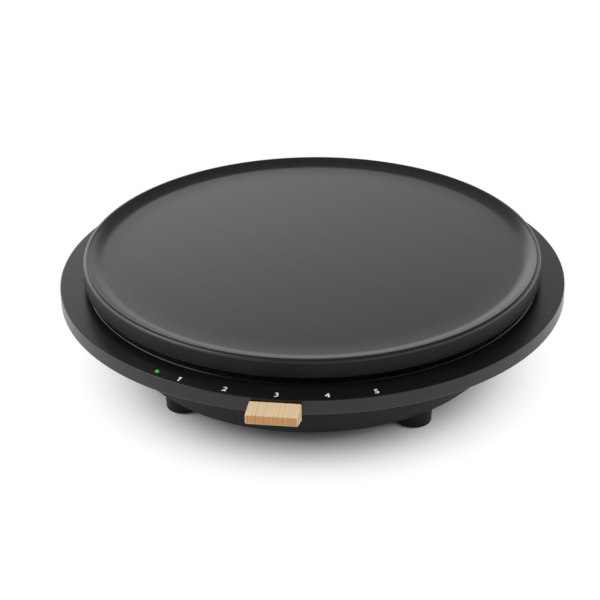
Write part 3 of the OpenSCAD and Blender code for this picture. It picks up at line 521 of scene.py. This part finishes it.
# Low pale walls stand at both sides
WALLS_SIDE = ((0.45, 0.70), (0.0, 1.1))
WALLS_HEIGHT = ((0.22, 0.34), (1.0, 0.0))

LAMP_AIM = (0, 0, 0.08)
# Name, place, size, watts, colour, and whether the finishes show its shape; one that they
# don't show stands for light too wide to make a shape
LAMPS = (
    ("left_box", (-1.20, -0.40, 0.90), (1.2, 1.0), 12.5, (0.93, 0.96, 1.0), True),
    ("right_scrim", (1.10, -0.45, 0.95), (1.0, 0.9), 11, (0.96, 0.98, 1.0), False),
    ("top_scrim", (-0.15, 0.00, 1.70), (1.0, 1.0), 12, (1.0, 0.99, 0.97), False),
)


def add_floor():
    """Pale paper that keeps the object's shadow and fades to plain white round it."""
    bm = bmesh.new()
    bmesh.ops.create_circle(bm, cap_ends=True, segments=FLOOR_SIDES, radius=FLOOR_R)
    floor = add_object("floor", finished_mesh(bm, "floor"))
    made, t = new_material("floor")
    seen = t.seen_by("Is Camera Ray", "Is Transmission Ray", "Is Glossy Ray")
    paper = t.math("ADD", t.math("MULTIPLY", seen, FLOOR_LIFT), FLOOR_WHITE)
    colour = t.node("ShaderNodeCombineColor", {0: paper, 1: paper, 2: paper}).outputs[0]
    shaded = t.node("ShaderNodeBsdfDiffuse", {"Color": colour})
    white = t.node("ShaderNodeEmission", {"Color": grey(1.0), "Strength": 1.0})
    far = t.band(t.length(t.place()), FLOOR_FADE, shape="SMOOTHSTEP")
    t.output("ShaderNodeOutputMaterial", t.either(t.math("MULTIPLY", seen, far), shaded, white))
    floor.data.materials.append(made)


def add_world():
    """White where the camera looks past the object, and a graded studio for light and mirroring."""
    world = bpy.data.worlds.new("studio")
    bpy.context.scene.world = world
    t = Tree(world)
    x, y, z = t.parts(t.node("ShaderNodeTexCoord").outputs["Generated"])
    depth = t.band(y, *STUDIO_DEPTH, "SMOOTHSTEP")
    height = t.band(z, *STUDIO_HEIGHT, "SMOOTHSTEP")
    side = t.band(x, *STUDIO_SIDE, "SMOOTHSTEP")
    skyline = t.band(z, *STUDIO_SKYLINE)
    studio = t.math("MULTIPLY", t.math("MULTIPLY", depth, height), t.math("MULTIPLY", side, skyline))
    aside = t.band(t.math("ABSOLUTE", x), *WALLS_SIDE, "SMOOTHSTEP")
    low = t.band(z, *WALLS_HEIGHT, "SMOOTHSTEP")
    strength = t.math("MULTIPLY_ADD", aside, low, studio)
    lit = t.node("ShaderNodeBackground", {"Color": grey(1.0), "Strength": strength})
    white = t.node("ShaderNodeBackground", {"Color": grey(1.0), "Strength": 1.0})
    seen = t.seen_by("Is Camera Ray", "Is Transmission Ray")
    t.output("ShaderNodeOutputWorld", t.either(seen, lit, white))


def add_lamp(name, place, size, watts, colour, glints):
    """A soft box that the camera doesn't see."""
    data = bpy.data.lights.new(name, "AREA")
    data.shape = "RECTANGLE"
    data.size, data.size_y = size
    data.energy = watts
    data.color = colour
    lamp = add_object(name, data)
    lamp.location = place
    lamp.rotation_mode = "QUATERNION"
    lamp.rotation_quaternion = (Vector(LAMP_AIM) - Vector(place)).to_track_quat("-Z", "Y")
    lamp.visible_camera = False
    lamp.visible_glossy = glints


# ---- the whole scene ----

def add_stage():
    bpy.context.scene.view_settings.view_transform = "Standard"
    add_camera()
    add_floor()
    add_world()
    for lamp in LAMPS:
        add_lamp(*lamp)


def dress_housing():
    feet = ["foot_front_left", "foot_front_right", "foot_back_left", "foot_back_right"]
    pads = [foot.replace("foot", "pad") for foot in feet]
    dress(coated_casting(), "cooking_plate")
    dress(moulded_plastic("housing_plastic", grey(0.0060), grey(0.0075), rough=0.26, texture=2200,
                          depth=0.00002), "top_housing")
    dress(moulded_plastic("bowl_plastic", grey(0.0045), grey(0.006), rough=0.60, texture=1800,
                          depth=0.00004, ior=1.22, gloss=0.5), "bottom_housing")
    dress(moulded_plastic("foot_plastic", grey(0.004), grey(0.006), rough=0.5, texture=1800,
                          depth=0.00005, ior=1.40, gloss=0.5), *feet)
    dress(rubber("rubber", grey(0.012)), "cord_gland", *pads)
    dress(lens_glow(), "indicator_lens", "indicator_lamp")


def dress_inside():
    dress(metal("plated_steel", (0.62, 0.62, 0.63), 0.30),
          "plate_screws", "housing_screws", "thermostat_bracket", "bracket_screws",
          "thermostat_spindle", "spindle_nut", "slider_arm", "knob_screws", "fuse_clip",
          "fuse_screw", "block_screws", "earth_rivet")
    dress(metal("element_steel", (0.30, 0.28, 0.26), 0.5), "heating_element")
    dress(metal("sheet_aluminium", (0.80, 0.80, 0.81), 0.35, stretch=(1, 12, 1)), "heat_reflector")
    dress(metal("brass", (0.72, 0.56, 0.28), 0.35),
          "element_terminals", "thermostat_terminals", "clamp_screws", "earth_tab")
    dress(ceramic(), "element_insulators", "plate_spacers", "thermostat_body", "thermal_fuse",
          "terminal_block")
    dress(circuit_board(), "lamp_board")
    dress(rubber("sleeve", (0.70, 0.69, 0.64)), "lamp_lead")
    dress(rubber("live_sleeve", (0.16, 0.06, 0.02)), "wire_live")
    dress(rubber("neutral_sleeve", (0.02, 0.08, 0.40)), "wire_neutral")
    dress(rubber("earth_sleeve", (0.20, 0.36, 0.04)), "wire_earth")
    dress(rubber("hot_sleeve", (0.45, 0.02, 0.02)), "wire_fuse", "wire_element")


add_stage()
dress_housing()
dress_inside()
add_knob(wood())
add_numerals(ink())
